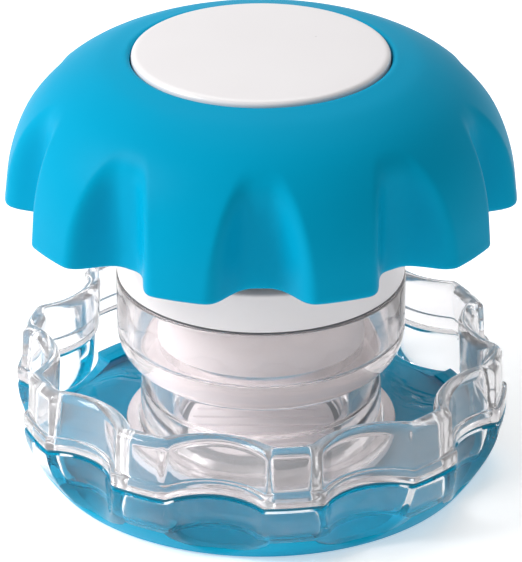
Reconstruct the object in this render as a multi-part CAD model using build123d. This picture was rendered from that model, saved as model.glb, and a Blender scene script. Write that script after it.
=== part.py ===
"""Twist-down pill crusher: fluted grip cap and screw plunger over a clear crush cup in a scalloped base.

Millimetres. +Z is up, the Z axis is the screw's axis, and z = 0 is the table under the non-slip foot.
The front of the object faces -Y. Every part is written to parts/NODE.step at its place in the assembly,
with the cap backed off to the open end of its thread.
"""

import os
from math import cos, radians, sin

from build123d import *

# ---------------------------------------------------------------- driving sizes
LOBES = 10                 # scallops round the cap and round the base
CLEAR = 0.05               # gap left between pieces that are clamped or bonded together

# heights above the table
FOOT_H = 1.2
PLATE_Z = 0.3              # underside of the blue base plate
PLATE_FLOOR_Z = 1.9        # top of the base plate under the tray, and in the scallop valleys
PLATE_EDGE_Z = 4.2         # top of the base plate at the lobes
PARTING_Z = 10.7           # line between lower tray and upper housing
FLANGE_Z = 13.2
RIM_Z = 20.2
SHOULDER_Z = 20.4          # underside of the cup's collar, before its rounding
COLLAR_Z = 31.7
INSERT_Z = 39.0            # top of the thread insert
SKIRT_Z = 44.7             # lower edge of the cap
DISC_Z = 68.9              # crown of the top disc

# radii of the base
BASE_R = 34.4              # base plate at the table
BAND_R = 38.9              # scallop lobes at the parting line
VALLEY_R = 35.1            # scallop valleys at the parting line
VALLEY_CUT_R = 10.4        # radius of the cut that makes a valley
BASE_LOBE_ANGLE = -82.6    # first base lobe, from +X
WALL = 2.4                 # tray wall
RIM_WALL = 3.2             # housing wall in the scallop valleys
PLATE_RIM_R = 33.4         # inside of the base plate's raised edge
PLATE_RIM_W = 1.9
FOOT_R = 32.2
FOOT_BORE_R = 25.8

# crush cup and thread insert
CUP_R = 18.8
CUP_FLANGE_R = 21.4
SPIGOT_LOW_Z = 18.1        # lower end of the thread insert
CUP_STEP_Z = 17.9          # step in the cup's bore under it
COLLAR_FOOT_Z = 17.2       # where the collar's rounded underside meets the cup's tube
BOWL_STEP = 1.8            # reach of the first slope of that underside
COLLAR_CORNER = 1.4
COLLAR_FLOOR = 1.4         # thickness of the collar's floor
ANVIL_BASE_Z = 5.0         # top of the wide white anvil disc under the cup
COLLAR_R = 22.6
COLLAR_BORE_R = 20.6
SPIGOT_R = 16.6
CHAMBER_R = 13.2           # crushing chamber
CHAMBER_TOP_Z = 9.8
THROAT_R = 14.4            # wider bore above it, which clears the screw thread
ANVIL_TOP_Z = 6.0

# screw thread shared by the plunger and the insert
STROKE = 24.0                              # cap travel from open to closed
TWIST_TO_CLOSE = 946.6                     # degrees; closes with the cap's lobes over the base's
LEAD = STROKE * 360 / TWIST_TO_CLOSE
STARTS = 3
SCREW_CORE_R = 12.7
SCREW_CREST_R = 14.0
INSERT_BORE_R = 13.1
INSERT_ROOT_R = 14.3

# cap
CAP_R = 39.4
CAP_VALLEY_R = 33.4
CAP_FLUTE_R = 7.4
CAP_LOBE_ANGLE = -72.0
COVER_WALL = 2.2
CORE_WALL = 1.6
DISC_R = 19.7
CORE_PLATE_Z = 63.4        # underside of the plate that carries the plunger screw
CORE_PLATE_R = 22.4
CORE_PLATE_H = 1.65

RIDGE_H = 0.4              # crushing ridges on anvil and press head
SEAL_W = 1.2               # width of the anvil's ring seal
HEAD_GAP = 0.5             # ridge to ridge when screwed down
SCREW_WALL = 2.4
SCREW_FLANGE_R = 18.2
SCREW_FLANGE_H = 1.5
FIXING_R = 0.95            # countersunk screws under the top disc
FIXING_REACH = 15.6
SKIN_EDGE_Z = 49.0         # lower edge of the stiff core inside the skin
RIB_H = 12.6
RIB_L = 9.6
RIB_W = 1.2


# ---------------------------------------------------------------- shared shapes
def tube(outer, inner, low, high):
    """A plain ring between two heights."""
    ring = Pos(0, 0, low) * extrude(Circle(outer), high - low)
    return ring - Pos(0, 0, low - 1) * extrude(Circle(inner), high - low + 2)


def rod(radius, low, high, x=0.0, y=0.0):
    """A plain round bar between two heights."""
    return Pos(x, y, low) * extrude(Circle(radius), high - low)


def turned(*edges):
    """A body of revolution from a closed half section drawn in the XZ plane."""
    return revolve(make_face(Wire(edges)), Axis.Z)


def section_point(radius, height):
    """A point of a half section."""
    return Vector(radius, 0, height)


def outline(points):
    """A closed half section of straight sides."""
    corners = [section_point(r, z) for r, z in points]
    return turned(*[Line(a, b) for a, b in zip(corners, corners[1:] + corners[:1])])


def round_the_axis(shape, count, first_angle):
    """The shape repeated evenly about Z."""
    step = 360 / count
    return [Rot(0, 0, first_angle + step * i) * shape for i in range(count)]


def valley_cutters(radius, depth_r, low, high, first_lobe, count=LOBES):
    """Upright round cutters whose deepest reach is depth_r, midway between the lobes."""
    cutter = rod(radius, low, high, x=depth_r + radius)
    return round_the_axis(cutter, count, first_lobe + 180 / count)


def helix_ridge(root_r, crest_r, root_width, crest_width, low, high):
    """One screw start: a trapezoid swept up a right-hand helix that passes the X axis at z = 0."""
    path = Helix(pitch=LEAD, height=high - low, radius=root_r)
    plane = Plane(origin=path @ 0, x_dir=(1, 0, 0), z_dir=path % 0)
    half_root = root_width / 2
    half_crest = crest_width / 2
    corners = [
        (0, -half_root),
        (crest_r - root_r, -half_crest),
        (crest_r - root_r, half_crest),
        (0, half_root),
    ]
    section = plane * make_face(Polyline(*corners, close=True))
    ridge = sweep(section, path=path, is_frenet=True)
    return Rot(0, 0, 360 * low / LEAD) * Pos(0, 0, low) * ridge


def thread(root_r, crest_r, root_width, crest_width, low, high):
    """All the starts of the screw thread."""
    ridge = helix_ridge(root_r, crest_r, root_width, crest_width, low, high)
    return round_the_axis(ridge, STARTS, 0)


def crushing_ridges(radius, low, high, width=1.0, spacing=2.6):
    """Parallel bars across a round face, which break the tablet."""
    count = int(radius / spacing)
    bars = None
    for i in range(-count, count + 1):
        y = i * spacing
        length = 2 * (radius**2 - (abs(y) + width / 2) ** 2) ** 0.5
        bar = Pos(0, y, (low + high) / 2) * Box(length, width, high - low)
        bars = bar if bars is None else bars + bar
    return bars


# ---------------------------------------------------------------- base
def bowl_profile():
    """Outer side of the base from the table to the parting line."""
    return Spline(
        section_point(BASE_R, PLATE_Z),
        section_point(BASE_R + 1.9, 2.4),
        section_point(BAND_R - 0.8, 6.6),
        section_point(BAND_R, PARTING_Z),
    )


def scalloped_bowl():
    """The whole base below the parting line as one block."""
    side = bowl_profile()
    top = Line(side @ 1, section_point(0, PARTING_Z))
    axis = Line(section_point(0, PARTING_Z), section_point(0, PLATE_Z))
    bottom = Line(section_point(0, PLATE_Z), side @ 0)
    block = turned(side, top, axis, bottom)
    return block - valley_cutters(VALLEY_CUT_R, VALLEY_R, -1, RIM_Z, BASE_LOBE_ANGLE)


def plate_zone(gap):
    """The space that the base plate takes up in the bowl, grown by a gap."""
    floor = rod(BAND_R + 5, -1, PLATE_FLOOR_Z + gap)
    edge = tube(BAND_R + 5, PLATE_RIM_R - gap, PLATE_FLOOR_Z - 0.5, PLATE_EDGE_Z + gap)
    inset = PLATE_RIM_W - gap
    pockets = valley_cutters(VALLEY_CUT_R + inset, VALLEY_R - inset, -1, RIM_Z, BASE_LOBE_ANGLE)
    return floor + (edge - pockets)


def make_base_plate(bowl):
    plate = bowl & plate_zone(0)
    return plate - tube(FOOT_R, FOOT_BORE_R, -1, FOOT_H + CLEAR)


def make_grip_foot():
    foot = tube(FOOT_R - CLEAR, FOOT_BORE_R + CLEAR, 0, FOOT_H)
    return fillet(foot.edges().group_by(Axis.Z)[0], 0.3)


def make_lower_tray(bowl):
    tray = bowl - plate_zone(CLEAR)
    hollow = rod(BAND_R - WALL, PLATE_EDGE_Z - 0.3, PARTING_Z + 1)
    hollow -= valley_cutters(VALLEY_CUT_R + WALL, VALLEY_R - WALL, 0, RIM_Z, BASE_LOBE_ANGLE)
    return tray - hollow - rod(BAND_R + 5, PARTING_Z - 0.35, PARTING_Z + 2)


def make_upper_housing():
    """Clear scalloped wall, thicker at its rounded rim, with a flange over the parting line."""
    low = PARTING_Z + 0.35
    side = [
        (BAND_R, low),
        (BAND_R, FLANGE_Z - 0.5),
        (BAND_R - 0.5, FLANGE_Z),
        (BAND_R - 0.9, RIM_Z - 1.0),
        (BAND_R - 1.9, RIM_Z),
        (0, RIM_Z),
        (0, low),
    ]
    cuts = valley_cutters(VALLEY_CUT_R, VALLEY_R, 0, FLANGE_Z, BASE_LOBE_ANGLE)
    cuts += valley_cutters(VALLEY_CUT_R + 0.6, VALLEY_R - 0.6, FLANGE_Z, RIM_Z + 1, BASE_LOBE_ANGLE)
    block = outline(side) - cuts
    hollow = outline([(0, low - 1), (36.6, low - 1), (35.0, RIM_Z - 1.0), (36.0, RIM_Z + 0.1), (0, RIM_Z + 0.1)])
    hollow -= valley_cutters(VALLEY_CUT_R + RIM_WALL, VALLEY_R - RIM_WALL, 0, RIM_Z + 1, BASE_LOBE_ANGLE)
    return block - hollow


def make_parting_seal():
    """Thin soft ring squeezed between tray and housing."""
    low = PARTING_Z - 0.3
    high = PARTING_Z + 0.3
    band = rod(BAND_R - 0.35, low, high)
    band -= valley_cutters(VALLEY_CUT_R + 0.35, VALLEY_R - 0.35, 0, RIM_Z, BASE_LOBE_ANGLE)
    hollow = rod(BAND_R - WALL, low - 1, high + 1)
    hollow -= valley_cutters(VALLEY_CUT_R + WALL, VALLEY_R - WALL, 0, RIM_Z, BASE_LOBE_ANGLE)
    return band - hollow


def make_crush_cup():
    """Clear open tube: foot flange, crushing chamber, and a wide collar that takes the thread insert."""
    low = ANVIL_BASE_Z + CLEAR
    outer = [
        (0, low),
        (CUP_FLANGE_R, low),
        (CUP_FLANGE_R, low + 1.2),
        (CUP_R + 0.4, low + 1.6),
        (CUP_R, COLLAR_FOOT_Z),
        (CUP_R + BOWL_STEP, COLLAR_FOOT_Z + BOWL_STEP / 2),
        (COLLAR_R - COLLAR_CORNER / 2, SHOULDER_Z - COLLAR_CORNER / 2),
        (COLLAR_R, SHOULDER_Z + COLLAR_CORNER),
        (COLLAR_R, COLLAR_Z),
        (0, COLLAR_Z),
    ]
    bore = [
        (0, low - 1.0),
        (CHAMBER_R, low - 1.0),
        (CHAMBER_R, CHAMBER_TOP_Z),
        (THROAT_R, CHAMBER_TOP_Z + 1.0),
        (THROAT_R, CUP_STEP_Z),
        (SPIGOT_R + CLEAR, CUP_STEP_Z),
        (SPIGOT_R + CLEAR, SHOULDER_Z + COLLAR_FLOOR),
        (COLLAR_BORE_R - 1, SHOULDER_Z + COLLAR_FLOOR),
        (COLLAR_BORE_R, SHOULDER_Z + COLLAR_FLOOR + 1),
        (COLLAR_BORE_R, COLLAR_Z + 1),
        (0, COLLAR_Z + 1),
    ]
    return outline(outer) - outline(bore)


def make_anvil_seal():
    low = ANVIL_BASE_Z + CLEAR
    return tube(CHAMBER_R - CLEAR, CHAMBER_R - SEAL_W, low, low + 0.8)


def make_anvil_plate():
    """White disc under the cup, with a raised and ridged middle that fills the chamber's end."""
    radius = CHAMBER_R - SEAL_W - CLEAR
    plate = rod(CUP_FLANGE_R, PLATE_EDGE_Z - 0.3 + CLEAR, ANVIL_BASE_Z)
    plate += rod(radius, ANVIL_BASE_Z - 0.5, ANVIL_TOP_Z)
    return plate + crushing_ridges(radius - 0.8, ANVIL_TOP_Z - 0.2, ANVIL_TOP_Z + RIDGE_H)


def make_collar_gasket():
    return tube(COLLAR_R - 0.35, COLLAR_BORE_R + 0.2, COLLAR_Z + 0.02, COLLAR_Z + 0.38)


def make_thread_insert():
    """White nut on the collar: a broad head above the rim, a spigot down into the cup, and the thread."""
    low = COLLAR_Z + 0.4
    outer = [
        (0, SPIGOT_LOW_Z),
        (SPIGOT_R, SPIGOT_LOW_Z),
        (SPIGOT_R, low - 0.2),
        (COLLAR_BORE_R - 0.2, low - 0.2),
        (COLLAR_BORE_R - 0.2, low),
        (COLLAR_R - 0.2, low),
        (COLLAR_R - 0.2, INSERT_Z - 1.2),
        (COLLAR_R - 1.4, INSERT_Z),
        (0, INSERT_Z),
    ]
    tap = rod(INSERT_BORE_R, 16.0, INSERT_Z + 4)
    tap += thread(INSERT_BORE_R - 0.4, INSERT_ROOT_R, 2.6, 1.4, 17.0, INSERT_Z + 2.5)
    return outline(outer) - tap


# ---------------------------------------------------------------- swivel head
HEAD_FACE_Z = ANVIL_TOP_Z + RIDGE_H + HEAD_GAP + STROKE      # lowest face of the head's ridges
HEAD_LOW_Z = HEAD_FACE_Z + RIDGE_H
HEAD_TOP_Z = HEAD_LOW_Z + 2.6
HEAD_R = 12.4
WASHER_H = 0.4
SCREW_LOW_Z = HEAD_TOP_Z + WASHER_H + 0.2
PIN_R = 2.6


def make_press_head():
    """Ridged disc that presses the tablet; it swivels on the plunger's pin and carries a ring seal."""
    middle = (HEAD_LOW_Z + HEAD_TOP_Z) / 2
    head = rod(HEAD_R, HEAD_LOW_Z, HEAD_TOP_Z)
    head -= tube(HEAD_R + 1, HEAD_R - 1.0, middle - 0.6, middle + 0.6)
    head -= rod(PIN_R + 0.3, HEAD_LOW_Z + 0.5, HEAD_TOP_Z + 1)
    head -= rod(4.8, HEAD_LOW_Z + 0.5, HEAD_LOW_Z + 1.5)
    return head + crushing_ridges(HEAD_R - 0.8, HEAD_FACE_Z, HEAD_LOW_Z + 0.2)


def make_head_seal():
    middle = (HEAD_LOW_Z + HEAD_TOP_Z) / 2
    return tube(HEAD_R + 0.4, HEAD_R - 1.0 + CLEAR, middle - 0.55, middle + 0.55)


def make_thrust_washer():
    return tube(8.0, PIN_R + 0.3, HEAD_TOP_Z + 0.02, HEAD_TOP_Z + 0.02 + WASHER_H)


def make_swivel_clip():
    """Spring clip in the pin's groove that holds the head on."""
    low = HEAD_LOW_Z + 0.75
    clip = tube(4.5, PIN_R - 0.3, low, low + 0.5)
    return clip - Pos(0, -4, low) * Box(2.4, 5, 2)


# ---------------------------------------------------------------- cap
def make_plunger_screw():
    """Hollow white screw with a mounting flange on top and the swivel pin below."""
    tube_outer = rod(SCREW_CORE_R, SCREW_LOW_Z, CORE_PLATE_Z + 2)
    ridge = thread(SCREW_CORE_R - 0.4, SCREW_CREST_R, 1.9, 0.8, SCREW_LOW_Z + 0.6, CORE_PLATE_Z - 3.0)
    screw = tube_outer + ridge
    flange_low = CORE_PLATE_Z + CORE_PLATE_H + CLEAR
    screw += rod(SCREW_FLANGE_R, flange_low, flange_low + SCREW_FLANGE_H)
    screw -= rod(SCREW_CORE_R - SCREW_WALL, SCREW_LOW_Z + 2.2, flange_low + 3)
    pin = rod(PIN_R, HEAD_LOW_Z + 0.6, SCREW_LOW_Z + 1)
    pin -= tube(PIN_R + 1, PIN_R - 0.6, HEAD_LOW_Z + 0.65, HEAD_LOW_Z + 1.35)
    screw += pin
    for x, y in cap_screw_places():
        screw -= Pos(x, y, flange_low + 0.75) * Cone(1.15, 2.0, 1.6)
    return screw


def cap_screw_places():
    """Centres of the four screws that hold the plunger's flange to the grip core."""
    angles = [radians(45 + 90 * i) for i in range(4)]
    return [(FIXING_REACH * cos(angle), FIXING_REACH * sin(angle)) for angle in angles]


def make_cap_screws():
    """Four short countersunk screws as one group."""
    top = CORE_PLATE_Z + CORE_PLATE_H + CLEAR + SCREW_FLANGE_H
    single = Pos(0, 0, top - 0.6) * Cone(FIXING_R, 1.85, 1.2)
    single += rod(FIXING_R, CORE_PLATE_Z + 0.2, top - 1.1)
    single -= Pos(0, 0, top) * Box(2.2, 0.5, 0.8)
    single -= Pos(0, 0, top) * Box(0.5, 2.2, 0.8)
    return Compound(children=[Pos(x, y, 0) * single for x, y in cap_screw_places()])


def dome_block(inset, low):
    """The cap's fluted outside, shrunk by an inset, filled solid down to a height."""
    side = Spline(
        section_point(19.9, 68.1 - inset),
        section_point(25.2 - 0.2 * inset, 66.9 - inset),
        section_point(30.4 - 0.6 * inset, 64.3 - 0.85 * inset),
        section_point(34.2 - 0.8 * inset, 60.9 - 0.65 * inset),
        section_point(37.0 - 0.92 * inset, 56.2 - 0.4 * inset),
        section_point(38.8 - inset, 50.2 - 0.1 * inset),
        section_point(CAP_R - inset, SKIRT_Z),
    )
    block = turned(
        side,
        Line(side @ 1, section_point(0, SKIRT_Z)),
        Line(section_point(0, SKIRT_Z), section_point(0, 68.1 - inset)),
        Line(section_point(0, 68.1 - inset), side @ 0),
    )
    cuts = valley_cutters(CAP_FLUTE_R + inset, CAP_VALLEY_R - inset, SKIRT_Z - 2, 72, CAP_LOBE_ANGLE)
    block = block - cuts
    if low > SKIRT_Z:
        block = block - rod(CAP_R + 5, SKIRT_Z - 5, low)
    return block


def make_grip_cover():
    """Soft fluted skin of the cap, with a seat for the white disc."""
    cover = dome_block(0, SKIRT_Z) - dome_block(COVER_WALL, SKIRT_Z)
    return cover - rod(DISC_R + 0.2, 60, 72)


def make_grip_core():
    """Stiff shell that carries the soft skin, with a plate for the plunger and ribs into the lobes."""
    outside = dome_block(COVER_WALL + 0.15, SKIN_EDGE_Z)
    inside = dome_block(COVER_WALL + CORE_WALL, SKIN_EDGE_Z - 1)
    core = outside - inside
    plate = tube(CORE_PLATE_R, SCREW_CORE_R + 0.3, CORE_PLATE_Z, CORE_PLATE_Z + CORE_PLATE_H)
    rib = Pos(28.4, 0, 57.5) * Box(RIB_L, RIB_W, RIB_H)
    ribs = [r & inside for r in round_the_axis(rib, LOBES, CAP_LOBE_ANGLE)]
    core = core + plate + ribs - rod(SCREW_CORE_R + 0.3, 60, 72)
    core -= rod(DISC_R + 0.2, CORE_PLATE_Z + CORE_PLATE_H, 72)
    for x, y in cap_screw_places():
        core -= rod(FIXING_R + CLEAR, CORE_PLATE_Z + 0.15, CORE_PLATE_Z + 3, x, y)
    return core


def make_top_disc():
    """White disc over the screws: a gently crowned button with a rounded edge and a snap rim."""
    edge = 1.1
    low = DISC_Z - 1.9
    top = ThreePointArc(
        section_point(0, DISC_Z),
        section_point(DISC_R / 2, DISC_Z - 0.05),
        section_point(DISC_R - edge, DISC_Z - 0.2),
    )
    bend = edge * (1 - cos(radians(45)))
    shoulder = ThreePointArc(
        top @ 1,
        section_point(DISC_R - bend, DISC_Z - 0.2 - bend),
        section_point(DISC_R, DISC_Z - 0.2 - edge),
    )
    under = [
        section_point(DISC_R, DISC_Z - 0.2 - edge),
        section_point(DISC_R, low),
        section_point(DISC_R - 1.2, low),
        section_point(DISC_R - 1.2, DISC_Z - 1.4),
        section_point(0, DISC_Z - 1.4),
        section_point(0, DISC_Z),
    ]
    sides = [Line(a, b) for a, b in zip(under, under[1:])]
    return turned(top, shoulder, *sides)


def main():
    os.makedirs("parts", exist_ok=True)
    bowl = scalloped_bowl()
    parts = {
        "base_plate": make_base_plate(bowl),
        "grip_foot": make_grip_foot(),
        "lower_tray": make_lower_tray(bowl),
        "parting_seal": make_parting_seal(),
        "upper_housing": make_upper_housing(),
        "crush_cup": make_crush_cup(),
        "anvil_seal": make_anvil_seal(),
        "anvil_plate": make_anvil_plate(),
        "collar_gasket": make_collar_gasket(),
        "thread_insert": make_thread_insert(),
        "press_head": make_press_head(),
        "head_seal": make_head_seal(),
        "thrust_washer": make_thrust_washer(),
        "swivel_clip": make_swivel_clip(),
        "plunger_screw": make_plunger_screw(),
        "cap_screws": make_cap_screws(),
        "grip_core": make_grip_core(),
        "grip_cover": make_grip_cover(),
        "top_disc": make_top_disc(),
    }
    for node, shape in parts.items():
        export_step(shape, f"parts/{node}.step")
    print(f"lead {LEAD:.4f} mm, ratio {LEAD / 1000 / (2 * 3.141592653589793):.9f} m/rad")


main()
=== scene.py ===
"""Twist-down pill crusher in a plain studio.

A fluted blue grip cap stands backed off above the white thread insert of a clear crush cup. The cup sits in a
scalloped clear base with a blue plate under it. Sizes are in millimetres in the row frame (+Z up the screw's
axis, -Y to the front) and become metres where a mesh is made. Angles about Z start at the front and grow
towards +X.
"""

import logging
import math
from dataclasses import dataclass, field
from enum import Enum
from typing import Callable, Optional, Sequence

import bmesh
import bpy
import numpy as np
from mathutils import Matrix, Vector


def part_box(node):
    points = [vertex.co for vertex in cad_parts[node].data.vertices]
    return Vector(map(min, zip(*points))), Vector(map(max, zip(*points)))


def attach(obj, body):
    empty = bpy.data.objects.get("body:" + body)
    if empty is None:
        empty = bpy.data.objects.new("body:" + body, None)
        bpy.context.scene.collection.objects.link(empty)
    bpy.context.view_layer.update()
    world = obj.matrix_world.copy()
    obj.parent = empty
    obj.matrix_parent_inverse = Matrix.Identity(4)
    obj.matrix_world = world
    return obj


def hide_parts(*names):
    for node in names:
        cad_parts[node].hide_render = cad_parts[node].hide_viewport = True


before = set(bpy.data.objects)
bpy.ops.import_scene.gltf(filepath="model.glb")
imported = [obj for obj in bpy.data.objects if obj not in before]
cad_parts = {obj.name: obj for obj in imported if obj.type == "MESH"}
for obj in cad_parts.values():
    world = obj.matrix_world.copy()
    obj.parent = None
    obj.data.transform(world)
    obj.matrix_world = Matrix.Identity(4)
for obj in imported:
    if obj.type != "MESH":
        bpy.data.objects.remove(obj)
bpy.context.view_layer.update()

MM = 0.001
FULL_TURN = 2 * math.pi
QUARTER_TURN = math.pi / 2
SHARP_EDGE = math.radians(38)
WELD_M = 1e-7
SLIVER_M = 1e-8

# the colour sockets of a mix node share their names with the number sockets, so they go by index
MIX_FIRST = 6
MIX_SECOND = 7
MIX_COLOUR = 2

Corner = tuple[float, float, float]
Section = list[tuple[float, float]]

log = logging.getLogger("pill_crusher")


# ---------------------------------------------------------------- small helpers
def linear(hex_colour: str) -> tuple[float, float, float, float]:
    """Turns an sRGB hex colour to linear RGBA.

    Args:
        hex_colour: six hex digits with a leading hash.

    Returns:
        The linear colour with an alpha of 1.
    """
    digits = hex_colour.lstrip("#")
    parts = [int(digits[i : i + 2], 16) / 255 for i in (0, 2, 4)]
    channels = [c / 12.92 if c <= 0.04045 else ((c + 0.055) / 1.055) ** 2.4 for c in parts]
    return (*channels, 1.0)


def node_box(node: str) -> tuple[Vector, Vector]:
    """Gives a CAD node's lowest and highest corner in millimetres.

    Args:
        node: the CAD node's name.

    Returns:
        The two corners.
    """
    low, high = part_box(node)
    return low / MM, high / MM


def soft_min(first: float, second: float, blend: float) -> float:
    """The smaller of two lengths, with the crease between them rounded.

    Args:
        first: one length.
        second: the other length.
        blend: difference over which the crease is rounded.

    Returns:
        The rounded minimum.
    """
    share = max(blend - abs(first - second), 0.0) / blend
    return min(first, second) - share * share * blend / 4


def smooth_path(points: Sequence[tuple[float, float]], per_span: int) -> Section:
    """Runs a smooth curve through a few points of a half section.

    Args:
        points: (radius, height) pairs in order.
        per_span: how many steps between two points.

    Returns:
        The curve's points, both ends included.
    """
    known = [np.array(p, float) for p in points]
    known = [2 * known[0] - known[1], *known, 2 * known[-1] - known[-2]]
    path = []
    for a, b, c, d in zip(known, known[1:], known[2:], known[3:]):
        for step in range(per_span):
            t = step / per_span
            spot = 2 * b + (c - a) * t + (2 * a - 5 * b + 4 * c - d) * t**2 + (3 * b - a - 3 * c + d) * t**3
            path.append((float(spot[0]) / 2, float(spot[1]) / 2))
    path.append((float(known[-2][0]), float(known[-2][1])))
    return path


def eased(corners: Sequence[Corner], steps: int = 5) -> Section:
    """Rounds the corners of a closed half section.

    Args:
        corners: (radius, height, rounding) in order round the section.
        steps: steps in each rounded corner.

    Returns:
        The section with its corners rounded.
    """
    section = []
    count = len(corners)
    for i, (radius, height, rounding) in enumerate(corners):
        if rounding <= 0:
            section.append((radius, height))
            continue
        here = np.array((radius, height))
        ends = []
        for other in (corners[i - 1], corners[(i + 1) % count]):
            away = np.array(other[:2]) - here
            ends.append(here + away * min(rounding / max(float(np.linalg.norm(away)), 1e-6), 0.49))
        for step in range(steps + 1):
            t = step / steps
            spot = (1 - t) ** 2 * ends[0] + 2 * t * (1 - t) * here + t * t * ends[1]
            section.append((float(spot[0]), float(spot[1])))
    return section


def turned(name: str, section: Callable[[float], Section], steps: int) -> bpy.types.Object:
    """Carries a closed half section round the axis, letting it change with the angle.

    Args:
        name: the piece's name.
        section: gives the half section at an angle, always with the same number of points.
        steps: how many sections make the full turn.

    Returns:
        The new piece, smooth shaded and closed.
    """
    angles = np.arange(steps) * FULL_TURN / steps
    loops = np.array([section(float(angle)) for angle in angles])
    radius, height = loops[:, :, 0], loops[:, :, 1]
    across = radius * np.sin(angles)[:, None]
    deep = -radius * np.cos(angles)[:, None]
    spots = np.stack([across, deep, height], axis=-1).reshape(-1, 3) * MM
    rows = loops.shape[1]
    faces = []
    for i in range(steps):
        j = (i + 1) % steps
        for k in range(rows):
            m = (k + 1) % rows
            faces.append((i * rows + k, j * rows + k, j * rows + m, i * rows + m))
    mesh = bpy.data.meshes.new(name)
    mesh.from_pydata(spots.tolist(), [], faces)
    shape = bmesh.new()
    shape.from_mesh(mesh)
    bmesh.ops.remove_doubles(shape, verts=shape.verts, dist=WELD_M)
    bmesh.ops.dissolve_degenerate(shape, dist=SLIVER_M, edges=shape.edges)
    bmesh.ops.recalc_face_normals(shape, faces=shape.faces)
    shape.to_mesh(mesh)
    shape.free()
    mesh.shade_smooth()
    mesh.set_sharp_from_angle(angle=SHARP_EDGE)
    piece = bpy.data.objects.new(name, mesh)
    bpy.context.scene.collection.objects.link(piece)
    return piece


def add_node(
    tree: bpy.types.NodeTree,
    kind: str,
    values: Optional[dict] = None,
    links: Optional[dict] = None,
    **settings: object,
) -> bpy.types.Node:
    """Adds a node with its settings, input values and links.

    Args:
        tree: the node tree.
        kind: the node's type.
        values: input name to value.
        links: input name to the socket that feeds it.
        **settings: the node's own properties.

    Returns:
        The new node.
    """
    node = tree.nodes.new(kind)
    for key, value in settings.items():
        setattr(node, key, value)
    for key, value in (values or {}).items():
        node.inputs[key].default_value = value
    for key, socket in (links or {}).items():
        tree.links.new(socket, node.inputs[key])
    return node


# ---------------------------------------------------------------- finishes
@dataclass(frozen=True)
class MouldedFinish:
    """An opaque surface: two close tones, a gloss that wanders, and the relief its making leaves.

    Args:
        name: common name of the material and how its surface was made.
        tone: main colour.
        second_tone: colour of the faint patches.
        patch_mm: size of the patches.
        roughness: middle roughness.
        roughness_span: how far the roughness wanders each way.
        grain_mm: size of the surface grain.
        grain_depth_mm: depth of the grain.
        ior: index of refraction.
        metallic: 1 for bare metal.
        mirror: level of the surface's reflection, 0.5 as its IOR gives.
        glow: strength of the light it sends out by itself.
    """

    name: str
    tone: str
    second_tone: str
    patch_mm: float
    roughness: float
    roughness_span: float
    grain_mm: float
    grain_depth_mm: float
    ior: float = 1.5
    metallic: float = 0.0
    mirror: float = 0.5
    glow: float = 0.0

    def material(self) -> bpy.types.Material:
        """Makes the material, or returns it if it is there.

        Returns:
            The material.
        """
        made = bpy.data.materials.get(self.name)
        if made is not None:
            return made
        made = bpy.data.materials.new(self.name)
        made.use_nodes = True
        tree = made.node_tree
        tree.nodes.clear()
        place = add_node(tree, "ShaderNodeTexCoord").outputs["Object"]
        patches = add_node(
            tree,
            "ShaderNodeTexNoise",
            values={"Scale": 1 / (self.patch_mm * MM), "Detail": 3.0, "Roughness": 0.5},
            links={"Vector": place},
        )
        colour = add_node(
            tree,
            "ShaderNodeMix",
            data_type="RGBA",
            links={"Factor": patches.outputs["Fac"]},
        )
        colour.inputs[MIX_FIRST].default_value = linear(self.tone)
        colour.inputs[MIX_SECOND].default_value = linear(self.second_tone)
        grain = add_node(
            tree,
            "ShaderNodeTexNoise",
            values={"Scale": 1 / (self.grain_mm * MM), "Detail": 2.0, "Roughness": 0.6},
            links={"Vector": place},
        )
        gloss = add_node(
            tree,
            "ShaderNodeMapRange",
            values={
                "From Min": 0.3,
                "From Max": 0.7,
                "To Min": self.roughness - self.roughness_span,
                "To Max": self.roughness + self.roughness_span,
            },
            links={"Value": patches.outputs["Fac"]},
        )
        relief = add_node(
            tree,
            "ShaderNodeBump",
            values={"Strength": 1.0, "Distance": self.grain_depth_mm * MM},
            links={"Height": grain.outputs["Fac"]},
        )
        shader = add_node(
            tree,
            "ShaderNodeBsdfPrincipled",
            values={
                "Metallic": self.metallic,
                "IOR": self.ior,
                "Specular IOR Level": self.mirror,
                "Emission Color": linear(self.tone),
                "Emission Strength": self.glow,
            },
            links={
                "Base Color": colour.outputs[MIX_COLOUR],
                "Roughness": gloss.outputs["Result"],
                "Normal": relief.outputs["Normal"],
            },
        )
        add_node(tree, "ShaderNodeOutputMaterial", links={"Surface": shader.outputs["BSDF"]})
        return made


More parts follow.
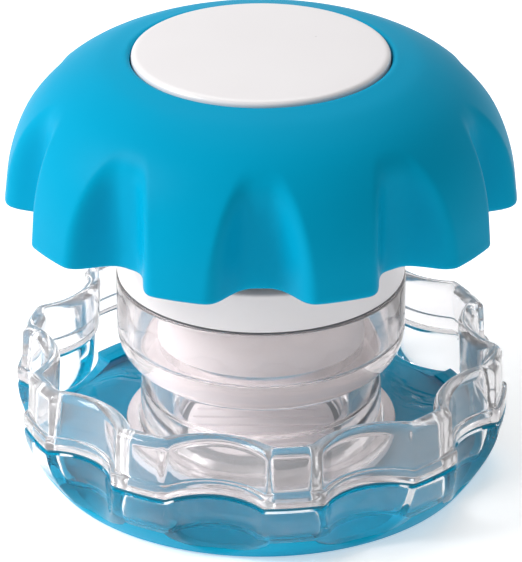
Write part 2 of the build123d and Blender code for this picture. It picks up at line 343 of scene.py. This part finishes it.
@dataclass(frozen=True)
class ClearFinish:
    """A clear moulded wall that bends what is behind it and lets lamps through.

    Args:
        name: common name of the material and how its surface was made.
        tone: the wall's own tint.
        ior: index of refraction.
        roughness: roughness of the polished wall.
        flow_mm: size of the faint waves the melt leaves.
        flow_depth_mm: depth of the waves.
        lamp_tint: what is left of a lamp's light behind the wall.
        clarity: share of the light that passes through, the rest being a faint haze.
        mirror: strength of the surface reflection, 0.5 being the plain one.
    """

    name: str
    tone: str
    ior: float
    roughness: float
    flow_mm: float
    flow_depth_mm: float
    lamp_tint: str
    clarity: float
    mirror: float = 0.5

    def material(self) -> bpy.types.Material:
        """Makes the material, or returns it if it is there.

        Returns:
            The material.
        """
        made = bpy.data.materials.get(self.name)
        if made is not None:
            return made
        made = bpy.data.materials.new(self.name)
        made.use_nodes = True
        tree = made.node_tree
        tree.nodes.clear()
        place = add_node(tree, "ShaderNodeTexCoord").outputs["Object"]
        flow = add_node(
            tree,
            "ShaderNodeTexNoise",
            values={"Scale": 1 / (self.flow_mm * MM), "Detail": 2.0, "Roughness": 0.45},
            links={"Vector": place},
        )
        relief = add_node(
            tree,
            "ShaderNodeBump",
            values={"Strength": 1.0, "Distance": self.flow_depth_mm * MM},
            links={"Height": flow.outputs["Fac"]},
        )
        gloss = add_node(
            tree,
            "ShaderNodeMapRange",
            values={"To Min": self.roughness * 0.5, "To Max": self.roughness * 1.5},
            links={"Value": flow.outputs["Fac"]},
        )
        shader = add_node(
            tree,
            "ShaderNodeBsdfPrincipled",
            values={
                "Base Color": linear(self.tone),
                "IOR": self.ior,
                "Transmission Weight": self.clarity,
                "Specular IOR Level": self.mirror,
            },
            links={"Roughness": gloss.outputs["Result"], "Normal": relief.outputs["Normal"]},
        )
        lamps = add_node(tree, "ShaderNodeLightPath")
        open_way = add_node(tree, "ShaderNodeBsdfTransparent", values={"Color": linear(self.lamp_tint)})
        blend = add_node(tree, "ShaderNodeMixShader", links={"Fac": lamps.outputs["Is Shadow Ray"]})
        tree.links.new(shader.outputs["BSDF"], blend.inputs[1])
        tree.links.new(open_way.outputs["BSDF"], blend.inputs[2])
        add_node(tree, "ShaderNodeOutputMaterial", links={"Surface": blend.outputs["Shader"]})
        return made


class Finish(Enum):
    """The finishes on this object and its stage."""

    # thermoplastic elastomer from a satin mould: soft wide highlights on a saturated cyan blue
    GRIP_BLUE = MouldedFinish(
        name="tpe_satin_moulded_blue",
        tone="#0094BA",
        second_tone="#009AC1",
        patch_mm=22.0,
        roughness=0.42,
        roughness_span=0.03,
        grain_mm=0.35,
        grain_depth_mm=0.004,
        ior=1.49,
        mirror=0.03,
    )
    # ABS from a smooth mould: the same blue, a little glossier and flatter
    PLATE_BLUE = MouldedFinish(
        name="abs_smooth_moulded_blue",
        tone="#0098BC",
        second_tone="#009EC3",
        patch_mm=18.0,
        roughness=0.35,
        roughness_span=0.03,
        grain_mm=0.5,
        grain_depth_mm=0.002,
        mirror=0.06,
    )
    # ABS, mould polished and then lightly handled: warm white with a soft sheen
    BUTTON_WHITE = MouldedFinish(
        name="abs_polished_white",
        tone="#E3DFE0",
        second_tone="#E6E3E4",
        patch_mm=14.0,
        roughness=0.3,
        roughness_span=0.03,
        grain_mm=0.6,
        grain_depth_mm=0.002,
        ior=1.53,
    )
    # ABS, eroded mould: warm white, more matte than the button
    INSERT_WHITE = MouldedFinish(
        name="abs_satin_white",
        tone="#ECE7E8",
        second_tone="#F1EDEE",
        patch_mm=10.0,
        roughness=0.38,
        roughness_span=0.04,
        grain_mm=0.4,
        grain_depth_mm=0.003,
        ior=1.53,
    )
    # acetal, machined-looking moulding: slightly waxy neutral white on the screw and the head
    SCREW_WHITE = MouldedFinish(
        name="acetal_moulded_white",
        tone="#E8E8E6",
        second_tone="#E0E1E0",
        patch_mm=6.0,
        roughness=0.34,
        roughness_span=0.05,
        grain_mm=0.3,
        grain_depth_mm=0.003,
        ior=1.48,
    )
    # polypropylene, textured mould: grey inner shell with a visible grain
    CORE_GREY = MouldedFinish(
        name="polypropylene_textured_grey",
        tone="#5E666C",
        second_tone="#666F75",
        patch_mm=9.0,
        roughness=0.5,
        roughness_span=0.06,
        grain_mm=0.6,
        grain_depth_mm=0.02,
        ior=1.49,
    )
    # nitrile rubber, pressed: near-black grey, dull; also the near-black ring of painted shade in the gap
    # under the thread insert's head
    SEAL_GREY_AND_GAP_SHADE = MouldedFinish(
        name="nitrile_grey_and_painted_gap_shade",
        tone="#4A4C50",
        second_tone="#54575B",
        patch_mm=3.0,
        roughness=0.55,
        roughness_span=0.06,
        grain_mm=0.25,
        grain_depth_mm=0.01,
        ior=1.52,
    )
    # silicone, pressed: deep teal line round the base
    SEAL_TEAL = MouldedFinish(
        name="silicone_pressed_teal",
        tone="#00617A",
        second_tone="#006C86",
        patch_mm=5.0,
        roughness=0.42,
        roughness_span=0.05,
        grain_mm=0.3,
        grain_depth_mm=0.005,
        ior=1.43,
    )
    # thermoplastic rubber, stippled: mid grey foot that grips the table
    FOOT_GREY = MouldedFinish(
        name="tpr_stippled_grey",
        tone="#6C7073",
        second_tone="#75797C",
        patch_mm=4.0,
        roughness=0.7,
        roughness_span=0.08,
        grain_mm=0.5,
        grain_depth_mm=0.05,
        ior=1.5,
    )
    # spring steel and zinc plate, drawn and tumbled: bright with fine scratches
    STEEL = MouldedFinish(
        name="steel_tumbled_zinc",
        tone="#B9BBBD",
        second_tone="#A9ABAE",
        patch_mm=1.2,
        roughness=0.3,
        roughness_span=0.08,
        grain_mm=0.15,
        grain_depth_mm=0.004,
        metallic=1.0,
    )
    # SAN, polished mould: water clear with a trace of smoke, crisp bent edges
    # index of refraction lowered from about 1.57, so that the thin walls bend and mirror less
    WALL_CLEAR = ClearFinish(
        name="san_polished_clear",
        tone="#F6F4F5",
        ior=1.4,
        roughness=0.07,
        flow_mm=9.0,
        flow_depth_mm=0.005,
        lamp_tint="#DCE0E3",
        clarity=0.92,
    )
    # SAN, polished mould, thin floor: clear enough to leave the plate under it a full deep blue
    # index of refraction lowered from about 1.57, so that the thin walls bend and mirror less
    TRAY_CLEAR = ClearFinish(
        name="san_polished_thin_clear",
        tone="#F6F6F7",
        ior=1.34,
        roughness=0.02,
        flow_mm=12.0,
        flow_depth_mm=0.004,
        lamp_tint="#C4CCD0",
        clarity=1.0,
        mirror=0.05,
    )
    # SAN, vapour polished after moulding: faintly milky and pale
    # index of refraction lowered from about 1.57, so that the thin walls bend and mirror less
    CUP_CLEAR = ClearFinish(
        name="san_vapour_polished_clear",
        tone="#F8F3F3",
        ior=1.42,
        roughness=0.05,
        flow_mm=9.0,
        flow_depth_mm=0.006,
        lamp_tint="#F0F0F1",
        clarity=0.93,
    )
    # paper sweep on a light table, matte: even, pale and lit a little from below
    SWEEP_WHITE = MouldedFinish(
        name="paper_matte_white",
        tone="#FAFAFA",
        second_tone="#FCFCFC",
        patch_mm=120.0,
        roughness=0.8,
        roughness_span=0.04,
        grain_mm=2.0,
        grain_depth_mm=0.01,
        glow=0.42,
    )


def dress(piece: bpy.types.Object, finish: Finish) -> None:
    """Gives a piece its finish.

    Args:
        piece: a new piece or a CAD node.
        finish: the finish.
    """
    made = finish.value.material()
    if not piece.material_slots:
        piece.data.materials.append(made)
        return
    for place in piece.material_slots:
        place.material = made


@dataclass
class Assembly:
    """What every sub-assembly shares: the CAD body it moves with, and a way to settle its pieces.

    Args:
        body: the CAD body.
    """

    body: str = "base"

    def settle(self, piece: bpy.types.Object, node: str, finish: Finish, slot: str) -> None:
        """Puts a new piece in a CAD node's place.

        Args:
            piece: the new piece.
            node: the CAD node it stands for.
            finish: its finish.
            slot: the record's material slot; not used.
        """
        dress(piece, finish)
        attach(piece, self.body)
        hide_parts(node)
        log.info("built %s on %s in place of %s", piece.name, self.body, node)

    def keep(self, node: str, finish: Finish) -> None:
        """Keeps a CAD node and gives it a finish.

        Args:
            node: the CAD node.
            finish: its finish.
        """
        dress(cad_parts[node], finish)
        log.info("kept %s on %s", node, self.body)


# ---------------------------------------------------------------- shared outlines
@dataclass(frozen=True)
class Scallop:
    """The wavy outline of the base: narrow round lobes with wide hollows between them.

    Args:
        lobes: how many lobes.
        first_lobe: angle of one lobe in degrees.
        valley: radius at the bottom of a hollow.
        hollow: radius of the arc that makes a hollow.
        crease: rounding where hollow and lobe meet.
    """

    lobes: int = 10
    first_lobe: float = 7.4
    valley: float = 35.1
    hollow: float = 10.4
    crease: float = 0.5

    def from_valley(self, angle: float) -> float:
        """Angle from the nearest hollow's middle, in radians.

        Args:
            angle: angle about Z.

        Returns:
            The signed angle.
        """
        step = FULL_TURN / self.lobes
        turned_by = angle - math.radians(self.first_lobe) - step / 2
        return turned_by - step * round(turned_by / step)

    def radius(self, angle: float, lobe: float, inset: float = 0.0) -> float:
        """The outline's radius at an angle.

        Args:
            angle: angle about Z.
            lobe: radius of the lobes there.
            inset: how far the hollow is moved inwards.

        Returns:
            The radius.
        """
        reach = self.valley + self.hollow
        arc = self.hollow + inset
        off = self.from_valley(angle)
        room = arc**2 - (reach * math.sin(off)) ** 2
        if room <= 0:
            return lobe
        return soft_min(lobe, reach * math.cos(off) - math.sqrt(room), self.crease)


@dataclass(frozen=True)
class ScrewThread:
    """The three-start right-hand thread of plunger and insert.

    Args:
        starts: how many starts.
        lead: rise in one turn.
        bore: radius of the insert's crests.
        root: radius at the bottom of the insert's grooves.
        flat_half: half width of a groove's bottom.
        mouth_half: half width of a groove at mouth_r.
        mouth_r: radius where mouth_half holds.
    """

    starts: int = 3
    lead: float = 24.0 * 360 / 946.6
    bore: float = 13.1
    root: float = 14.3
    flat_half: float = 0.7
    mouth_half: float = 1.3
    mouth_r: float = 12.7

    def bore_radius(self, angle: float, height: float) -> float:
        """Radius of the threaded bore at a place.

        Args:
            angle: angle about Z from the front.
            height: height above the table.

        Returns:
            The radius.
        """
        turns = (angle - QUARTER_TURN) / FULL_TURN - height / self.lead
        share = self.starts * turns
        off = abs(share - round(share)) * self.lead / self.starts
        slope = (self.root - self.mouth_r) / (self.mouth_half - self.flat_half)
        return max(self.bore, self.root - max(off - self.flat_half, 0.0) * slope)


# ---------------------------------------------------------------- cap
@dataclass(frozen=True)
class Flutes:
    """Upright finger hollows round the cap: round valleys that blend softly into broad lobes.

    Args:
        count: how many flutes.
        valley: radius at the bottom of a flute.
        rise: how far a flute's side climbs outwards.
        spread: half the width of a flute, as an angle.
        roundness: 1 for a wave, more for a broad floor with steep sides.
        blend: rounding where a flute meets the dome.
    """

    count: int = 10
    valley: float = 33.3
    rise: float = 8.4
    spread: float = math.radians(13.6)
    roundness: float = 1.55
    blend: float = 2.2

    def radius(self, angle: float, lobe: float, inset: float = 0.0) -> float:
        """The fluted dome's radius at an angle.

        Args:
            angle: angle about Z, with a flute at 0.
            lobe: radius of the dome there.
            inset: how far the flute is moved inwards.

        Returns:
            The radius.
        """
        step = FULL_TURN / self.count
        off = abs(angle - step * round(angle / step)) / self.spread
        if off >= 1:
            return lobe
        side = self.rise * (1 - math.cos(math.pi * off**self.roundness)) / 2
        return soft_min(lobe, self.valley - inset + side, self.blend)


@dataclass
class GripCap(Assembly):
    """The fluted cap: soft skin, white button, stiff core and the plunger screw under it.

    Args:
        wall: thickness of the soft skin.
        flutes: the upright hollows round the dome.
        seat_r: radius of the button's seat.
        lip: height of the rounded skirt edge.
        lip_steps: steps round that edge.
        button_edge: width of the button's downturned edge.
        button_wall: thickness of the button's top.
        sections: sections round the axis.
    """

    body: str = "cap"
    wall: float = 2.2
    flutes: Flutes = field(default_factory=Flutes)
    seat_r: float = 19.9
    lip: float = 0.7
    lip_steps: int = 8
    button_edge: float = 1.2
    button_wall: float = 1.4
    sections: int = 720

    def dome(self, skirt: float) -> Section:
        """The outer side of a lobe from the button's seat to the skirt's rounded edge.

        Args:
            skirt: height of the skirt's edge.

        Returns:
            Points of the lobe's side.
        """
        return smooth_path(
            [
                (20.7, 68.05),
                (25.2, 66.95),
                (30.2, 64.45),
                (33.9, 61.2),
                (36.7, 57.0),
                (38.55, 51.6),
                (39.4, skirt + self.lip),
            ],
            9,
        )

    def cover(self) -> bpy.types.Object:
        """Builds the soft skin.

        Returns:
            The piece.
        """
        skirt = node_box("grip_cover")[0].z
        side = self.dome(skirt)
        slopes = np.gradient(np.array(side), axis=0)
        slopes /= np.linalg.norm(slopes, axis=1)[:, None]
        inner_side = [(r + self.wall * s[1], z - self.wall * s[0]) for (r, z), s in zip(side, slopes)]
        seat_foot = inner_side[0][1]

        def section(angle: float) -> Section:
            outer = [(self.flutes.radius(angle, r), z) for r, z in side]
            inner = [(self.flutes.radius(angle, r, self.wall), z) for r, z in inner_side]
            start, end = outer[-1], inner[-1]
            middle = (start[0] + end[0]) / 2
            half = (start[0] - end[0]) / 2
            edge = []
            for step in range(1, self.lip_steps):
                turn = math.pi * step / self.lip_steps
                edge.append((middle + half * math.cos(turn), start[1] - self.lip * math.sin(turn)))
            seat = [
                (self.seat_r, seat_foot),
                (self.seat_r, 66.6),
                (self.seat_r, 67.5),
                (self.seat_r + 0.12, 67.85),
                (self.seat_r + 0.4, 68.03),
            ]
            return outer + edge + inner[::-1] + seat

        return turned("cap_skin", section, self.sections)

    def button(self) -> bpy.types.Object:
        """Builds the white button in the crown.

        Returns:
            The piece.
        """
        low, high = node_box("top_disc")
        radius = high.x
        rim = radius - self.button_edge
        ceiling = high.z - self.button_wall
        corners = [
            (0.0, high.z, 0.0),
            (radius * 0.35, high.z - 0.01, 0.0),
            (radius * 0.7, high.z - 0.08, 0.0),
            (radius, high.z - 0.22, 1.1),
            (radius, low.z, 0.2),
            (rim, low.z, 0.2),
            (rim, ceiling, 0.3),
            (0.0, ceiling, 0.0),
        ]
        profile = eased(corners, 8)
        return turned("cap_button", lambda angle: profile, 256)

    def build(self) -> None:
        """Builds and dresses the cap."""
        self.settle(self.cover(), "grip_cover", Finish.GRIP_BLUE, "cap_blue_soft")
        self.settle(self.button(), "top_disc", Finish.BUTTON_WHITE, "white_plastic")
        self.keep("grip_core", Finish.CORE_GREY)
        self.keep("plunger_screw", Finish.SCREW_WHITE)
        self.keep("cap_screws", Finish.STEEL)


@dataclass
class SwivelHead(Assembly):
    """The press head on the screw's pin, with its seal, washer and clip."""

    body: str = "head"

    def build(self) -> None:
        """Dresses the head's pieces."""
        self.keep("press_head", Finish.SCREW_WHITE)
        self.keep("head_seal", Finish.SEAL_GREY_AND_GAP_SHADE)
        self.keep("thrust_washer", Finish.SCREW_WHITE)
        self.keep("swivel_clip", Finish.STEEL)


# ---------------------------------------------------------------- crush cup
@dataclass
class CrushCup(Assembly):
    """The clear cup, the white thread insert on its collar, and the anvil at its bottom.

    Args:
        thread: the screw thread.
        foot_r: radius of the foot flange.
        tube_r: outer radius of the tube.
        collar_bore: radius inside the collar.
        spigot: radius of the insert's spigot.
        throat: bore above the chamber.
        chamber: bore of the crushing chamber.
        chamber_top: height where the chamber starts to open into the throat.
        shoulder_z: underside of the collar.
        collar_floor: thickness of the collar's floor.
        step_z: height of the step in the bore under the spigot.
        parting_gap: space between collar and insert, filled by a near-black ring of painted shade.
        bowl_z: where the collar's rounded underside meets the tube.
    """

    thread: ScrewThread = field(default_factory=ScrewThread)
    foot_r: float = 21.4
    tube_r: float = 18.8
    collar_bore: float = 20.6
    spigot: float = 16.6
    throat: float = 14.4
    chamber: float = 13.2
    chamber_top: float = 9.8
    shoulder_z: float = 20.4
    collar_floor: float = 1.4
    step_z: float = 17.9
    parting_gap: float = 0.4
    bowl_z: float = 17.2

    def cup(self) -> bpy.types.Object:
        """Builds the clear cup.

        Returns:
            The piece.
        """
        low, high = node_box("crush_cup")
        collar = high.x
        seat = self.spigot + 0.05
        floor = self.shoulder_z + self.collar_floor
        corners = [
            (self.chamber, low.z, 0.1),
            (self.foot_r, low.z, 0.2),
            (self.foot_r, low.z + 1.2, 0.4),
            (self.tube_r + 0.4, low.z + 1.6, 0.8),
            (self.tube_r, self.bowl_z, 0.5),
            (self.tube_r + 1.8, self.bowl_z + 0.9, 1.2),
            (collar - 0.7, self.shoulder_z - 0.7, 1.6),
            (collar, self.shoulder_z + 1.4, 1.2),
            (collar, high.z, 0.35),
            (self.collar_bore, high.z, 0.2),
            (self.collar_bore, floor, 1.3),
            (seat, floor, 0.1),
            (seat, self.step_z, 0.1),
            (self.throat, self.step_z, 0.3),
            (self.throat, self.chamber_top + 1.0, 0.3),
            (self.chamber, self.chamber_top, 0.3),
        ]
        profile = eased(corners, 7)
        return turned("clear_cup", lambda angle: profile, 360)

    def insert(self) -> bpy.types.Object:
        """Builds the white insert with its threaded bore.

        Returns:
            The piece.
        """
        low, high = node_box("thread_insert")
        shelf = node_box("crush_cup")[1].z + self.parting_gap
        head = high.x
        neck = self.collar_bore - 0.2
        bore = self.thread.root + 0.2
        corners = [
            (bore, low.z, 0.1),
            (self.spigot, low.z, 0.3),
            (self.spigot, shelf - 0.2, 0.3),
            (neck, shelf - 0.2, 0.0),
            (neck, shelf, 0.0),
            (head, shelf, 0.25),
            (head, high.z - 0.6, 0.4),
            (head - 1.0, high.z, 0.8),
            (bore, high.z, 0.1),
        ]
        outside = eased(corners, 6)
        heights = np.linspace(high.z - 0.3, low.z + 0.3, 110)

        def section(angle: float) -> Section:
            inside = [(self.thread.bore_radius(angle, float(z)), float(z)) for z in heights]
            return outside + inside

        return turned("thread_nut", section, 480)

    def gap_shade_ring(self) -> bpy.types.Object:
        """Builds the thin near-black ring under the insert's head: painted shade, standing for the shadow in
        the gap between insert and collar.

        Returns:
            The piece.
        """
        low, high = node_box("collar_gasket")
        outer = high.x
        inner = self.collar_bore + 0.2
        corners = [(inner, low.z, 0.1), (outer, low.z, 0.12), (outer, high.z, 0.12), (inner, high.z, 0.1)]
        profile = eased(corners, 4)
        return turned("collar_gap_shade_ring", lambda angle: profile, 256)

    def build(self) -> None:
        """Builds and dresses the cup."""
        self.settle(self.cup(), "crush_cup", Finish.CUP_CLEAR, "clear_smoke")
        self.settle(self.insert(), "thread_insert", Finish.INSERT_WHITE, "white_plastic")
        # the near-black ring in the gap under the insert's head is painted shade
        self.settle(self.gap_shade_ring(), "collar_gasket", Finish.SEAL_GREY_AND_GAP_SHADE, "seal_grey")
        self.keep("anvil_plate", Finish.INSERT_WHITE)
        self.keep("anvil_seal", Finish.SEAL_GREY_AND_GAP_SHADE)


# ---------------------------------------------------------------- base
@dataclass
class ScallopedBase(Assembly):
    """The clear two-part base on its blue plate.

    Args:
        outline: the wavy outline.
        wall: thickness of the tray's wall.
        floor_z: top of the blue plate in the middle.
        edge_z: top of the blue plate at the lobes.
        tray_floor: top of the tray's floor.
        lobe_r: radius of the lobes at the parting line.
        step_z: top of the flange above the parting line.
        scoop: half the angle of a scoop in the blue plate's edge.
        bowl_r: radius of the lobes at the table.
        bowl_low: height where the bowl starts to open out.
        bowl_rise: height over which it does.
        foot_in: inner radius of the foot ring's groove.
        foot_out: outer radius of that groove.
        foot_z: top of that groove.
        ledge_r: where the blue plate's middle rises to its edge.
        overlap: how far the tray sinks into the plate, so that no light gap shows between them.
        sections: sections round the axis.
    """

    outline: Scallop = field(default_factory=Scallop)
    wall: float = 2.4
    floor_z: float = 1.9
    edge_z: float = 4.2
    tray_floor: float = 3.9
    lobe_r: float = 38.9
    step_z: float = 13.2
    scoop: float = math.radians(12.4)
    bowl_r: float = 34.4
    bowl_low: float = 0.3
    bowl_rise: float = 10.4
    foot_in: float = 25.8
    foot_out: float = 32.2
    foot_z: float = 1.25
    ledge_r: float = 33.1
    overlap: float = 0.03
    sections: int = 900

    def bowl(self, height: float) -> float:
        """Radius of the lobes at a height below the parting line.

        Args:
            height: height above the table.

        Returns:
            The radius.
        """
        share = max(0.0, min((height - self.bowl_low) / self.bowl_rise, 1.0))
        return self.bowl_r + (self.lobe_r - self.bowl_r) * math.sin(share * QUARTER_TURN) ** 0.9

    def plate_edge(self, angle: float) -> float:
        """Height of the blue plate's outer edge: flat at the lobes, scooped in the hollows.

        Args:
            angle: angle about Z.

        Returns:
            The height.
        """
        off = abs(self.outline.from_valley(angle)) / self.scoop
        dip = math.sqrt(max(1 - off * off, 0.0))
        return self.edge_z - (self.edge_z - self.floor_z - 0.08) * dip

    def side(self, angle: float, low: float, high: float, count: int) -> Section:
        """Points up the outer side of the bowl.

        Args:
            angle: angle about Z.
            low: lowest height.
            high: highest height.
            count: how many points.

        Returns:
            The points.
        """
        heights = [low + (high - low) * i / (count - 1) for i in range(count)]
        return [(self.outline.radius(angle, self.bowl(z)), z) for z in heights]

    def plate(self) -> bpy.types.Object:
        """Builds the blue plate.

        Returns:
            The piece.
        """
        low = node_box("base_plate")[0].z
        ledge = self.ledge_r

        def section(angle: float) -> Section:
            edge = self.plate_edge(angle)
            under = [(0.0, low), (self.foot_in, low), (self.foot_in, self.foot_z)]
            under += [(self.foot_out, self.foot_z), (self.foot_out, low)]
            side = self.side(angle, low + 0.25, edge - 0.12, 9)
            turn_in = [(side[0][0] - 0.45, low), (side[0][0] - 0.12, low + 0.06)]
            top_r = side[-1][0]
            rim = [(top_r - 0.06, edge - 0.03), (top_r - 0.2, edge)]
            rim += [(ledge + 0.2, edge), (ledge + 0.05, edge - 0.04)]
            floor = [(ledge, self.floor_z), (20.0, self.floor_z), (0.0, self.floor_z)]
            return under + turn_in + side + rim + floor

        return turned("blue_plate", section, self.sections)

    def foot(self) -> bpy.types.Object:
        """Builds the grooved non-slip ring.

        Returns:
            The piece.
        """
        low, high = node_box("grip_foot")
        outer, inner = high.x, self.foot_in + 0.05
        grooves = []
        for i in range(3):
            middle = inner + (outer - inner) * (i + 1) / 4
            grooves += [(middle - 0.3, low.z, 0.08), (middle - 0.2, low.z + 0.3, 0.08)]
            grooves += [(middle + 0.2, low.z + 0.3, 0.08), (middle + 0.3, low.z, 0.08)]
        corners = [(inner, low.z, 0.25), *grooves, (outer, low.z, 0.25)]
        corners += [(outer, high.z, 0.05), (inner, high.z, 0.05)]
        profile = eased(corners, 3)
        return turned("foot_ring", lambda angle: profile, 256)

    def tray(self) -> bpy.types.Object:
        """Builds the clear lower tray.

        Returns:
            The piece.
        """
        top = node_box("lower_tray")[1].z
        base_z = self.floor_z - self.overlap

        def section(angle: float) -> Section:
            edge = self.plate_edge(angle) - self.overlap
            side = self.side(angle, edge, top - 0.3, 14)
            inner_r = self.outline.radius(angle, self.lobe_r - self.wall, self.wall)
            bowl_inside = self.bowl(self.tray_floor + 2) - self.wall
            foot_r = min(inner_r, self.outline.radius(angle, bowl_inside, self.wall))
            lead_in = side[-1][0]
            return (
                [(0.0, base_z), (self.ledge_r + 0.05, base_z), (self.ledge_r + 0.1, edge - 0.02)]
                + side
                + [(lead_in - 0.08, top - 0.08), (lead_in - 0.3, top)]
                + [(inner_r + 0.25, top), (inner_r + 0.05, top - 0.1), (inner_r, top - 0.4)]
                + [(foot_r + 0.2, self.tray_floor + 3.0), (foot_r - 0.05, self.tray_floor + 1.6)]
                + [(foot_r - 0.5, self.tray_floor + 0.6), (foot_r - 1.2, self.tray_floor + 0.12)]
                + [(foot_r - 2.0, self.tray_floor), (12.0, self.tray_floor), (0.0, self.tray_floor)]
            )

        return turned("clear_tray", section, self.sections)

    def seal(self) -> bpy.types.Object:
        """Builds the thin teal ring in the parting line.

        Returns:
            The piece.
        """
        low, high = node_box("parting_seal")
        middle = (low.z + high.z) / 2

        def section(angle: float) -> Section:
            outer = self.outline.radius(angle, self.lobe_r - 0.35, 0.35)
            inner = self.outline.radius(angle, self.lobe_r - self.wall, self.wall) + 0.5
            return eased(
                [
                    (inner, middle - 0.2, 0.1),
                    (outer, middle - 0.2, 0.15),
                    (outer, middle + 0.2, 0.15),
                    (inner, middle + 0.2, 0.1),
                ],
                3,
            )

        return turned("parting_line", section, self.sections)

    def housing(self) -> bpy.types.Object:
        """Builds the clear upper wall with its flange and rounded rim.

        Returns:
            The piece.
        """
        low, high = node_box("upper_housing")
        step = self.step_z

        def section(angle: float) -> Section:
            band = self.outline.radius(angle, self.lobe_r)
            wall_foot = self.outline.radius(angle, self.lobe_r - 0.7, 0.6)
            wall_top = self.outline.radius(angle, self.lobe_r - 1.0, 0.9)
            inner_foot = self.outline.radius(angle, 36.4, 3.0)
            inner_top = self.outline.radius(angle, 35.2, 3.4)
            return eased(
                [
                    (inner_foot, low.z, 0.2),
                    (band, low.z, 0.3),
                    (band, step, 0.5),
                    (wall_foot, step + 0.15, 0.25),
                    (wall_top, high.z - 0.9, 0.6),
                    (wall_top - 1.0, high.z, 0.6),
                    (inner_top + 0.7, high.z, 0.5),
                    (inner_top, high.z - 0.9, 0.6),
                ],
                5,
            )

        return turned("clear_wall", section, self.sections)

    def build(self) -> None:
        """Builds and dresses the base."""
        self.settle(self.plate(), "base_plate", Finish.PLATE_BLUE, "base_blue")
        self.settle(self.foot(), "grip_foot", Finish.FOOT_GREY, "foot_grey")
        self.settle(self.tray(), "lower_tray", Finish.TRAY_CLEAR, "clear_smoke")
        self.settle(self.seal(), "parting_seal", Finish.SEAL_TEAL, "seal_teal")
        self.settle(self.housing(), "upper_housing", Finish.WALL_CLEAR, "clear_smoke")


# ---------------------------------------------------------------- studio
@dataclass(frozen=True)
class SoftBox:
    """One large soft lamp aimed at the object.

    Args:
        name: the lamp's name.
        place: where it hangs, in metres.
        side: its side length in metres.
        power: its power in watts.
    """

    name: str
    place: tuple[float, float, float]
    side: float
    power: float


@dataclass
class Studio:
    """The pale sweep, the lamps and the camera.

    Args:
        lamps: the lamps.
        aim_z: height the lamps aim at, in metres.
        camera_place: the camera's place in metres.
        pitch: how far the camera looks down, in degrees.
        lens: focal length for a 36 mm sensor.
        floor_half: half the floor's side in metres.
        tent_glow: brightness of the white tent that glossy and clear surfaces show.
        left_glow: brightness of the surround on the left.
        right_glow: brightness of the surround on the right.
    """

    lamps: tuple[SoftBox, ...] = (
        SoftBox("key_left", (-0.6, -0.1, 0.46), 0.34, 5.1),
        SoftBox("back_top", (0.0, 0.45, 0.8), 0.6, 2.0),
    )
    aim_z: float = 0.035
    camera_place: tuple[float, float, float] = (0.0, -0.489, 0.273)
    pitch: float = 26.45
    lens: float = 224.0
    floor_half: float = 6.0
    tent_glow: float = 0.85
    left_glow: float = 0.36
    right_glow: float = 0.34

    def sweep(self) -> None:
        """Lays the pale floor."""
        mesh = bpy.data.meshes.new("sweep")
        shape = bmesh.new()
        bmesh.ops.create_grid(shape, x_segments=8, y_segments=8, size=self.floor_half)
        shape.to_mesh(mesh)
        shape.free()
        floor = bpy.data.objects.new("sweep", mesh)
        bpy.context.scene.collection.objects.link(floor)
        dress(floor, Finish.SWEEP_WHITE)

    def surround(self) -> None:
        """Lights the surround, darker towards the right."""
        world = bpy.data.worlds.new("studio")
        bpy.context.scene.world = world
        world.use_nodes = True
        tree = world.node_tree
        tree.nodes.clear()
        aim = add_node(tree, "ShaderNodeTexCoord").outputs["Generated"]
        parts = add_node(tree, "ShaderNodeSeparateXYZ", links={"Vector": aim})
        fall = add_node(
            tree,
            "ShaderNodeMapRange",
            values={"From Min": 0.8, "From Max": -0.8, "To Min": self.right_glow, "To Max": self.left_glow},
            links={"Value": parts.outputs["X"]},
        )
        rays = add_node(tree, "ShaderNodeLightPath")
        level = add_node(
            tree,
            "ShaderNodeMix",
            links={"Factor": rays.outputs["Is Diffuse Ray"], "B": fall.outputs["Result"]},
            values={"A": self.tent_glow},
        )
        glow = add_node(
            tree,
            "ShaderNodeBackground",
            values={"Color": linear("#FFFFFF")},
            links={"Strength": level.outputs["Result"]},
        )
        add_node(tree, "ShaderNodeOutputWorld", links={"Surface": glow.outputs["Background"]})

    def hang(self, lamp: SoftBox) -> None:
        """Hangs one lamp.

        Args:
            lamp: the lamp.
        """
        light = bpy.data.lights.new(lamp.name, "AREA")
        light.shape = "SQUARE"
        light.size = lamp.side
        light.energy = lamp.power
        holder = bpy.data.objects.new(lamp.name, light)
        bpy.context.scene.collection.objects.link(holder)
        holder.location = lamp.place
        holder.rotation_mode = "QUATERNION"
        aim = Vector((0, 0, self.aim_z)) - Vector(lamp.place)
        holder.rotation_quaternion = aim.to_track_quat("-Z", "Y")

    def camera(self) -> None:
        """Sets up the camera."""
        data = bpy.data.cameras.new("view")
        data.sensor_width = 36
        data.lens = self.lens
        data.dof.use_dof = False
        data.clip_start = 0.01
        data.clip_end = 50
        holder = bpy.data.objects.new("view", data)
        bpy.context.scene.collection.objects.link(holder)
        holder.location = self.camera_place
        holder.rotation_euler = (QUARTER_TURN - math.radians(self.pitch), 0, 0)
        bpy.context.scene.camera = holder

    def build(self) -> None:
        """Sets up the whole studio."""
        self.sweep()
        self.surround()
        for lamp in self.lamps:
            self.hang(lamp)
        self.camera()
        bpy.context.scene.view_settings.view_transform = "Standard"
        log.info("studio ready")


def main() -> None:
    """Builds the object, then the studio."""
    logging.basicConfig(level=logging.INFO, format="%(name)s %(message)s")
    for assembly in (ScallopedBase(), CrushCup(), SwivelHead(), GripCap()):
        assembly.build()
    Studio().build()


if __name__ == "__main__":
    main()
